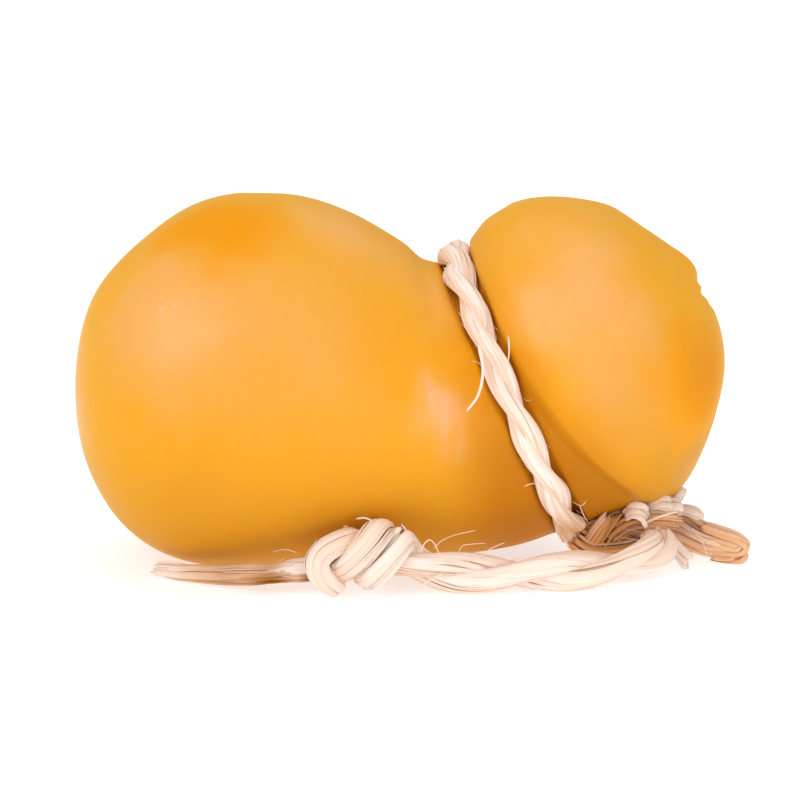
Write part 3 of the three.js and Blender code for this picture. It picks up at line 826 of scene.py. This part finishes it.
def rind_relief(point, rind):
    """Height of the rind's own unevenness: broad swells, gathers at the rope and the closure's pucker."""
    height = rind.undulation * noise.noise(point / RELIEF["broad"])
    height += RELIEF["share"] * rind.undulation * noise.noise(point / RELIEF["finer"])
    along, across, _, _ = from_waist(point)
    beside = abs(along) - GROOVE["radius"]
    if 0 < beside < GATHERS["limit"]:
        angle = math.atan2(across.y, across.dot(WAIST_UP))
        around = Vector((math.cos(angle), math.sin(angle), 0)) * GATHERS["count"]
        fold = noise.noise(around + Vector((0, 0, along / GATHERS["length"])))
        reach = GATHERS["belly"] if along < 0 else GATHERS["head"]
        start = smoothstep(beside, 0.0, GATHERS["start"])
        height += rind.gathers * fold * math.exp(-beside / reach) * start
    for place, swell, reach in SWELLINGS:
        height += swell * bell((point - Vector(place)).length, reach)
    closure = point - Vector(PUCKER["at"])
    away = closure.length
    if away < PUCKER["reach"]:
        spoke = math.atan2(closure.y, closure.dot(WAIST_UP))
        sway = PUCKER["sway"] * noise.noise(point / PUCKER["sway_length"])
        ridge = PUCKER["height"] * math.cos(PUCKER["ridges"] * spoke + sway)
        ring = bell(away - PUCKER["ring"], PUCKER["width"])
        height += ridge * ring - PUCKER["pit"] * bell(away, PUCKER["pit_width"])
    return height


def rest_on_floor(point):
    """Lets the lowest part settle to a soft-edged flat."""
    point.z = (point.z + math.sqrt(point.z ** 2 + SETTLE ** 2)) / 2
    return point


def build_cheese(rind):
    stations = body_stations()
    bm = bmesh.new()
    bmesh.ops.create_uvsphere(bm, u_segments=rind.around, v_segments=rind.rings, radius=1.0)
    ribs = [rib_at(ring / rind.rings, stations) for ring in range(rind.rings + 1)]
    for vert in bm.verts:
        ring = round(math.acos(min(max(vert.co.z, -1.0), 1.0)) / math.pi * rind.rings)
        angle = math.atan2(vert.co.y, vert.co.x)
        centre, lean, radius = ribs[ring]
        lean = math.radians(lean)
        up = Vector((-math.sin(lean), 0.0, math.cos(lean)))
        point = centre + up * radius * math.cos(angle) + Vector((0.0, radius * math.sin(angle), 0.0))
        vert.co = press_groove(press_dents(fold_under_head(point)))
    face_outward(bm)
    moved = [rest_on_floor(vert.co + vert.normal * rind_relief(vert.co, rind)) for vert in bm.verts]
    for vert, place in zip(bm.verts, moved):
        vert.co = place
    return bm


def even_line(points, spacing):
    """Points at even steps along the smooth curve through the points given."""
    points = [Vector(point) for point in points]
    fine = CURVE_STEPS * (len(points) - 1)
    dense = [catmull_rom(points, step / fine) for step in range(fine + 1)]
    lengths = [0.0]
    for here, there in zip(dense, dense[1:]):
        lengths.append(lengths[-1] + (there - here).length)
    count = max(2, round(lengths[-1] / spacing))
    line = []
    index = 0
    for step in range(count + 1):
        target = lengths[-1] * step / count
        while index < len(dense) - 2 and lengths[index + 1] < target:
            index += 1
        share = (target - lengths[index]) / max(lengths[index + 1] - lengths[index], 1e-9)
        line.append(dense[index].lerp(dense[index + 1], share))
    return line


def travelling_frames(line):
    """The direction of a line at each point, and two across it that turn as little as they can."""
    last = len(line) - 1
    frames = []
    normal = Vector((0.0, 0.0, 1.0))
    for index in range(last + 1):
        ahead = (line[min(index + 1, last)] - line[max(index - 1, 0)]).normalized()
        if abs(normal.dot(ahead)) > 0.99:
            normal = ahead.orthogonal()
        normal = (normal - ahead * normal.dot(ahead)).normalized()
        frames.append((ahead, normal, ahead.cross(normal)))
    return frames


def start_rope(node):
    """An empty mesh for a rope, and the random draws of its node."""
    bm = bmesh.new()
    bm.verts.layers.float.new("tint")
    bm.loops.layers.uv.new("along")
    return bm, random.Random(SEEDS[node])


def drift(index, seed, way):
    """Smooth random drift at a section of a ribbon."""
    pace, reach, row = DRIFT[way]
    return reach * noise.noise(Vector((index * pace, seed, row)))


def sweep_ribbon(bm, line, outward, widths, thick, cup, tint):
    """Sweeps a flat oval along a line, broad across the outward direction, with closed ends."""
    last = len(line) - 1
    made = bmesh.ops.create_grid(
        bm, x_segments=last, y_segments=RIBBON_SIDES, size=1.0, calc_uvs=True)["verts"]
    layer = bm.verts.layers.float["tint"]
    sides = []
    for index in range(last + 1):
        ahead = line[min(index + 1, last)] - line[max(index - 1, 0)]
        sides.append(ahead.cross(outward[index]).normalized())
    for vert in made:
        index = round((vert.co.x + 1) / 2 * last)
        angle = round((vert.co.y + 1) / 2 * RIBBON_SIDES) * 2 * math.pi / RIBBON_SIDES
        blunt = RIBBON_ENDS[min(index, last - index, len(RIBBON_ENDS) - 1)]
        reach = widths[index] * blunt * math.cos(angle)
        rise = thick * blunt * math.sin(angle) - cup * reach ** 2
        place = line[index] + sides[index] * reach + outward[index] * rise
        place.z = max(place.z, FLOOR_LEVEL)
        vert.co = place
        vert[layer] = tint
    bmesh.ops.remove_doubles(bm, verts=made, dist=1e-5)


def lay_strand(bm, centres, frames, radii, turn, rope, tint, rng):
    """Lays broad flat ribbons and a few fine fibres round a core, along a strand's middle line."""
    steps = len(centres)
    core = [radius * CORE["share"] for radius in radii]
    upward = [across for _, across, _ in frames]
    # The core is tinted tan as painted shade seen in the gaps between ribbons.
    sweep_ribbon(bm, centres, upward, core, core[0], 0.0, tint + CORE["tint"])
    for ribbon in range(rope.ribbons + rope.fibres):
        fine = ribbon >= rope.ribbons
        start = 2 * math.pi * (ribbon + rng.uniform(*RIBBON["gaps"])) / rope.ribbons
        width = rng.uniform(*RIBBON["width"])
        thick = radii[0] * rng.uniform(*RIBBON["thick"])
        depth = rng.uniform(*RIBBON["depth"])
        if fine:
            start = rng.uniform(0, 2 * math.pi)
            width = rng.uniform(*FIBRE["width"])
            thick = radii[0] * width
            depth = rng.uniform(*FIBRE["depth"])
        shade = min(max(tint + rng.gauss(*RIBBON["shade"]), 0.0), 1.0)
        seed = rng.uniform(0.0, 100.0)
        line, outward, widths = [], [], []
        for index in range(steps):
            _, across, beside = frames[index]
            angle = start + turn * index + drift(index, seed, "turn")
            out = across * math.cos(angle) + beside * math.sin(angle)
            lift = 1 + drift(index, seed, "lift")
            line.append(centres[index] + out * (radii[index] * depth * lift - thick))
            outward.append(out)
            swell = 1 + drift(index, seed, "width")
            widths.append(radii[index] * width * swell)
        sweep_ribbon(bm, line, outward, widths, thick, RIBBON["cup"] / radii[0], shade)


def lay_rope(bm, line, sizes, rope, tint, rng):
    """Lays strands round each other along a line, turning to the left as S-laid rope does."""
    frames = travelling_frames(line)
    last = len(line) - 1
    thicks = [sizes["thick"] * along_profile(sizes["along"], index / last) for index in range(last + 1)]
    radii = [thick * sizes["share"] for thick in thicks]
    turn = 2 * math.pi * (line[1] - line[0]).length / sizes["pitch"]
    for strand in range(sizes["strands"]):
        centres = []
        for index, (point, (_, across, beside)) in enumerate(zip(line, frames)):
            angle = sizes["phase"] + math.pi * strand - turn * index
            away = thicks[index] / 2 - radii[index]
            centres.append(point + (across * math.cos(angle) + beside * math.sin(angle)) * away)
        lay_strand(bm, centres, frames, radii, turn * rope.counter_twist, rope, tint, rng)


def lay_bundle(bm, line, looks, rng):
    """Lays loose ribbons side by side along a line, within half-heights and half-widths along it."""
    ahead = line[-1] - line[-2]
    line = [*line, *(line[-1] + ahead * step for step in range(1, looks["over"] + 1))]
    frames = travelling_frames(line)
    last = len(line) - 1
    for ribbon in range(looks["count"]):
        side = rng.uniform(-1.0, 1.0)
        level = rng.uniform(-1.0, 1.0) * math.sqrt(1 - side ** 2)
        end = last
        if ribbon % LOOSE["whole"]:
            end = round(last * (1 - looks["fray"] * rng.uniform(*LOOSE["short"])))
        width = rng.uniform(*looks["widths"])
        thick = rng.uniform(*LOOSE["thick"])
        # Lower ribbons are tinted darker, as painted shade under the bundle.
        tint = min(max(lerp(*looks["tints"], rng.random()) - LOOSE["shade"] * level, 0.0), 1.0)
        seed = rng.uniform(0.0, 100.0)
        places, outward, widths = [], [], []
        for index in range(end + 1):
            _, up, across = frames[index]
            share = index / last
            wide = along_profile(looks["wide"], share)
            tall = along_profile(looks["tall"], share)
            wander = drift(index, seed, "loose")
            sideways = across * (side + LOOSE["sway"] * wander) * wide
            places.append(line[index] + sideways + up * level * tall)
            lean = LOOSE["lean"][0] * side + LOOSE["lean"][1] * wander
            outward.append((up * math.cos(lean) + across * math.sin(lean)).normalized())
            widths.append(width * lerp(1.0, LOOSE["taper"], share))
        sweep_ribbon(bm, places, outward, widths, thick, LOOSE["cup"], tint)


def along_profile(sizes, share):
    """The size at a share of the way along a list of sizes."""
    place = share * (len(sizes) - 1)
    index = min(int(place), len(sizes) - 2)
    return lerp(sizes[index], sizes[index + 1], smoothstep(place - index, 0.0, 1.0))


def lay_tufts(bm, tufts, rng):
    """Lays short ribbons that fan out side by side, each tuft along its own line."""
    for ribbons, tint, width, points in tufts:
        last = len(points) - 1
        fan = [lerp(*TUFT["fan"], index / last) for index in range(last + 1)]
        for _ in range(ribbons):
            shift = Vector([rng.gauss(0, spread) for spread in TUFT["spread"]])
            moved = [Vector(point) + shift * share for point, share in zip(points, fan)]
            line = even_line(moved, TUFT["spacing"])
            lean = Vector((rng.gauss(0, TUFT["lean"]), *TUFT["facing"])).normalized()
            widths = [width * rng.uniform(*TUFT["widths"])] * len(line)
            shade = tint + rng.uniform(*TUFT["tints"])
            sweep_ribbon(bm, line, [lean] * len(line), widths, TUFT["thick"], LOOSE["cup"], shade)


def lay_fibres(bm, fibres):
    """Lays thin stray fibres, each through the places given."""
    for thick, tint, points in fibres:
        line = even_line(points, STRAY["spacing"])
        outward = [across for _, across, _ in travelling_frames(line)]
        last = len(line) - 1
        widths = [thick * lerp(1.0, STRAY["taper"], index / last) for index in range(last + 1)]
        sweep_ribbon(bm, line, outward, widths, thick * STRAY["flat"], 0.0, tint)


def lay_fuzz(bm, line, sizes, fibres, rng):
    """Lays short fine fibres that stand off the rope all along it."""
    frames = travelling_frames(line)
    for _ in range(fibres):
        index = rng.randrange(2, len(line) - 2)
        ahead, across, beside = frames[index]
        angle = rng.uniform(0, 2 * math.pi)
        out = across * math.cos(angle) + beside * math.sin(angle)
        root = line[index] + out * sizes["thick"] * FUZZ["root"]
        lean = ahead * rng.choice((-1, 1)) * rng.uniform(*FUZZ["lean"])
        bend = Vector([rng.gauss(0, FUZZ["bend"]) for _ in range(3)])
        tip = rng.uniform(*FUZZ["length"])
        points = (root, root + (lean + out * 0.5) * tip, root + (lean * 1.7 + out + bend) * tip)
        lay_fibres(bm, ((rng.uniform(*FUZZ["thick"]), rng.uniform(*FUZZ["tints"]), points),))


def end_knot_route():
    """The end knot's line, from the tail's start to the lead's end."""
    at = Vector(END_KNOT_AT)
    return [*FROM_TAIL, *(at + Vector(point) for point in OVERHAND_ROUTE), *TO_LEAD]


def tie_route():
    """The tie lies under the head, along Y, with its bight against the loop."""
    at, scale = Vector(TIE["at"]), TIE["scale"]
    return [at + Vector((-y, -x, -z)) * scale for x, y, z in OVERHAND_ROUTE]


def loop_route():
    """Round the waist, from under the neck and back to it."""
    points = []
    for step in range(360 // LOOP_STEP + 1):
        angle = math.radians(180 + step * LOOP_STEP)
        points.append(
            WAIST_CENTRE + WAIST_UP * LOOP_RADIUS * math.cos(angle)
            + Vector((0.0, -LOOP_RADIUS * math.sin(angle), 0.0)))
    return points


class SCAMORZA_OT_stage(Operator):
    """Adds the camera, the pale floor and the soft lights"""

    bl_idname = "scamorza.stage"
    bl_label = "Stage"

    def soft_light(self, name, place, aim, size, power):
        light = bpy.data.lights.new(name, "AREA")
        light.shape = "RECTANGLE"
        light.size, light.size_y = size
        light.energy = power
        lamp = bpy.data.objects.new(name, light)
        lamp.location = place
        lamp.rotation_euler = (aim - Vector(place)).to_track_quat("-Z", "Y").to_euler()
        bpy.context.scene.collection.objects.link(lamp)

    def execute(self, context):
        stage = context.scene.scamorza_stage
        aim = Vector(stage.aim)
        camera = bpy.data.cameras.new("camera")
        camera.sensor_width = 36.0
        camera.lens = stage.lens
        camera.clip_end = 50.0
        viewer = bpy.data.objects.new("camera", camera)
        back = Vector((0.0, -math.cos(stage.elevation), math.sin(stage.elevation)))
        viewer.location = aim + back * stage.distance
        viewer.rotation_euler = (-back).to_track_quat("-Z", "Y").to_euler()
        context.scene.collection.objects.link(viewer)
        context.scene.camera = viewer

        bm = bmesh.new()
        bmesh.ops.create_grid(bm, x_segments=8, y_segments=8, size=stage.floor_size / 2)
        mesh = bpy.data.meshes.new("floor")
        bm.to_mesh(mesh)
        bm.free()
        material, start, finish = new_material("pale_floor")
        place = start.node("ShaderNodeTexCoord", output="Object")
        away = place.node("ShaderNodeVectorMath", {"operation": "LENGTH"}, {0: place}, "Value")
        near_glow, far_glow = (opaque((FLOOR[key],) * 3) for key in ("near_glow", "far_glow"))
        glow = away.ramp(FLOOR["near"], FLOOR["far"]).mixed(near_glow, far_glow)
        finish(Base_Color=opaque((FLOOR["grey"],) * 3), Roughness=0.9, Specular_IOR_Level=0.1,
               Emission_Color=glow, Emission_Strength=1.0)
        mesh.materials.append(material)
        floor = bpy.data.objects.new("floor", mesh)
        context.scene.collection.objects.link(floor)

        for name, (position, towards, size) in LIGHTS.items():
            towards = aim if towards is None else Vector(towards)
            self.soft_light(f"{name}_light", position, towards, size, getattr(stage, name))
        world = bpy.data.worlds.new("studio")
        world.use_nodes = True
        surround = world.node_tree.nodes["Background"]
        surround.inputs["Color"].default_value = (1.0, 1.0, 1.0, 1.0)
        surround.inputs["Strength"].default_value = stage.sky
        context.scene.world = world
        context.scene.view_settings.view_transform = "Standard"
        return {"FINISHED"}


class SCAMORZA_OT_front_rope(Operator):
    """Lays the lead along the front, its overhand knot and its flat tail"""

    bl_idname = "scamorza.front_rope"
    bl_label = "Lead, knot and tail"

    def execute(self, context):
        rope = context.scene.scamorza_rope
        raffia = shared_material("dry_raffia", raffia_material, rope)
        bm, rng = start_rope("lead")
        line = even_line([*LEAD_ROUTE, *LEAD_INTO_KNOT], rope.spacing)
        lay_rope(bm, line, LEAD_ROPE, rope, TINTS["lead"], rng)
        lead = finish_piece("lead_rope", bm, raffia, "lead")

        bm, rng = start_rope("end_knot")
        line = even_line(end_knot_route(), rope.spacing)
        lay_rope(bm, line, KNOT_ROPE, rope, TINTS["end_knot"], rng)
        lay_fuzz(bm, line, KNOT_ROPE, rope.fuzz, rng)
        lay_fuzz(bm, even_line(LEAD_ROUTE, rope.spacing), LEAD_ROPE, rope.fuzz, rng)
        lay_tufts(bm, KNOT_TUFTS, rng)
        lay_fibres(bm, KNOT_STRAYS)
        knot = finish_piece("end_knot_rope", bm, raffia, "end_knot")

        bm, rng = start_rope("tail")
        lay_bundle(bm, even_line([*TAIL_INTO_KNOT, *TAIL_ROUTE], rope.spacing), TAIL_BUNDLE, rng)
        tail = finish_piece("tail_rope", bm, raffia, "tail")

        return {"FINISHED"}


class SCAMORZA_OT_short_end(Operator):
    """Lays the short frayed end of the rope under the head"""

    bl_idname = "scamorza.short_end"
    bl_label = "Short end"

    def execute(self, context):
        rope = context.scene.scamorza_rope
        raffia = shared_material("dry_raffia", raffia_material, rope)
        bm, rng = start_rope("short_end")
        line = even_line(SHORT_END_ROUTE, rope.spacing)
        lay_rope(bm, line, SHORT_ROPE, rope, TINTS["short_end"], rng)
        lay_bundle(bm, line, SHORT_BUNDLE, rng)
        lay_tufts(bm, SHORT_FOLDS, rng)
        end = finish_piece("short_end_rope", bm, raffia, "short_end")
        return {"FINISHED"}


class SCAMORZA_OT_neck_rope(Operator):
    """Winds the rope round the neck and ties it under the head"""

    bl_idname = "scamorza.neck_rope"
    bl_label = "Neck loop and tie"

    def execute(self, context):
        rope = context.scene.scamorza_rope
        raffia = shared_material("dry_raffia", raffia_material, rope)
        bm, rng = start_rope("neck_loop")
        line = even_line(loop_route(), rope.spacing)
        lay_rope(bm, line, LOOP_ROPE, rope, TINTS["neck_loop"], rng)
        lay_fuzz(bm, line, LOOP_ROPE, rope.fuzz * 2, rng)
        lay_fibres(bm, LOOP_STRAYS)
        finish_piece("neck_loop_rope", bm, raffia, "neck_loop")

        bm, rng = start_rope("neck_tie")
        lay_rope(bm, even_line(tie_route(), rope.spacing), TIE_ROPE, rope, TINTS["neck_tie"], rng)
        for ribbons, tints, size, points in TIE_BUNDLES:
            sizes = {"wide": (size, size), "tall": (size, size)}
            looks = {**TIE_BUNDLE, **sizes, "count": ribbons, "tints": tints}
            lay_bundle(bm, even_line(points, rope.spacing), looks, rng)
        lay_tufts(bm, TIE_TUFTS, rng)
        lay_fibres(bm, TIE_STRAYS)
        finish_piece("neck_tie_rope", bm, raffia, "neck_tie")
        return {"FINISHED"}


class SCAMORZA_OT_cheese(Operator):
    """Models the cheese with its dents, folds and smoked rind"""

    bl_idname = "scamorza.cheese"
    bl_label = "Cheese"

    def execute(self, context):
        rind = context.scene.scamorza_rind
        material = shared_material("waxy_rind", rind_material, rind)
        finish_piece("cheese_rind", build_cheese(rind), material, "cheese")
        return {"FINISHED"}


OPERATORS = (
    SCAMORZA_OT_stage, SCAMORZA_OT_front_rope, SCAMORZA_OT_short_end, SCAMORZA_OT_neck_rope,
    SCAMORZA_OT_cheese,
)


class SCAMORZA_PT_pieces(Panel):
    """Lists the pieces of the scamorza"""

    bl_idname = "SCAMORZA_PT_pieces"
    bl_label = "Smoked Scamorza"
    bl_space_type = "VIEW_3D"
    bl_region_type = "UI"
    bl_category = "Scamorza"

    def draw(self, context):
        for operator in OPERATORS:
            self.layout.operator(operator.bl_idname)


CLASSES = (ScamorzaRind, ScamorzaRope, ScamorzaStage, *OPERATORS, SCAMORZA_PT_pieces)


def register():
    for item in CLASSES:
        bpy.utils.register_class(item)
    bpy.types.Scene.scamorza_rind = PointerProperty(type=ScamorzaRind)
    bpy.types.Scene.scamorza_rope = PointerProperty(type=ScamorzaRope)
    bpy.types.Scene.scamorza_stage = PointerProperty(type=ScamorzaStage)


def unregister():
    del bpy.types.Scene.scamorza_stage
    del bpy.types.Scene.scamorza_rope
    del bpy.types.Scene.scamorza_rind
    for item in reversed(CLASSES):
        bpy.utils.unregister_class(item)


def main():
    register()
    bpy.ops.scamorza.stage()
    bpy.ops.scamorza.front_rope()
    bpy.ops.scamorza.short_end()
    bpy.ops.scamorza.neck_rope()
    bpy.ops.scamorza.cheese()


if __name__ == "__main__":
    main()
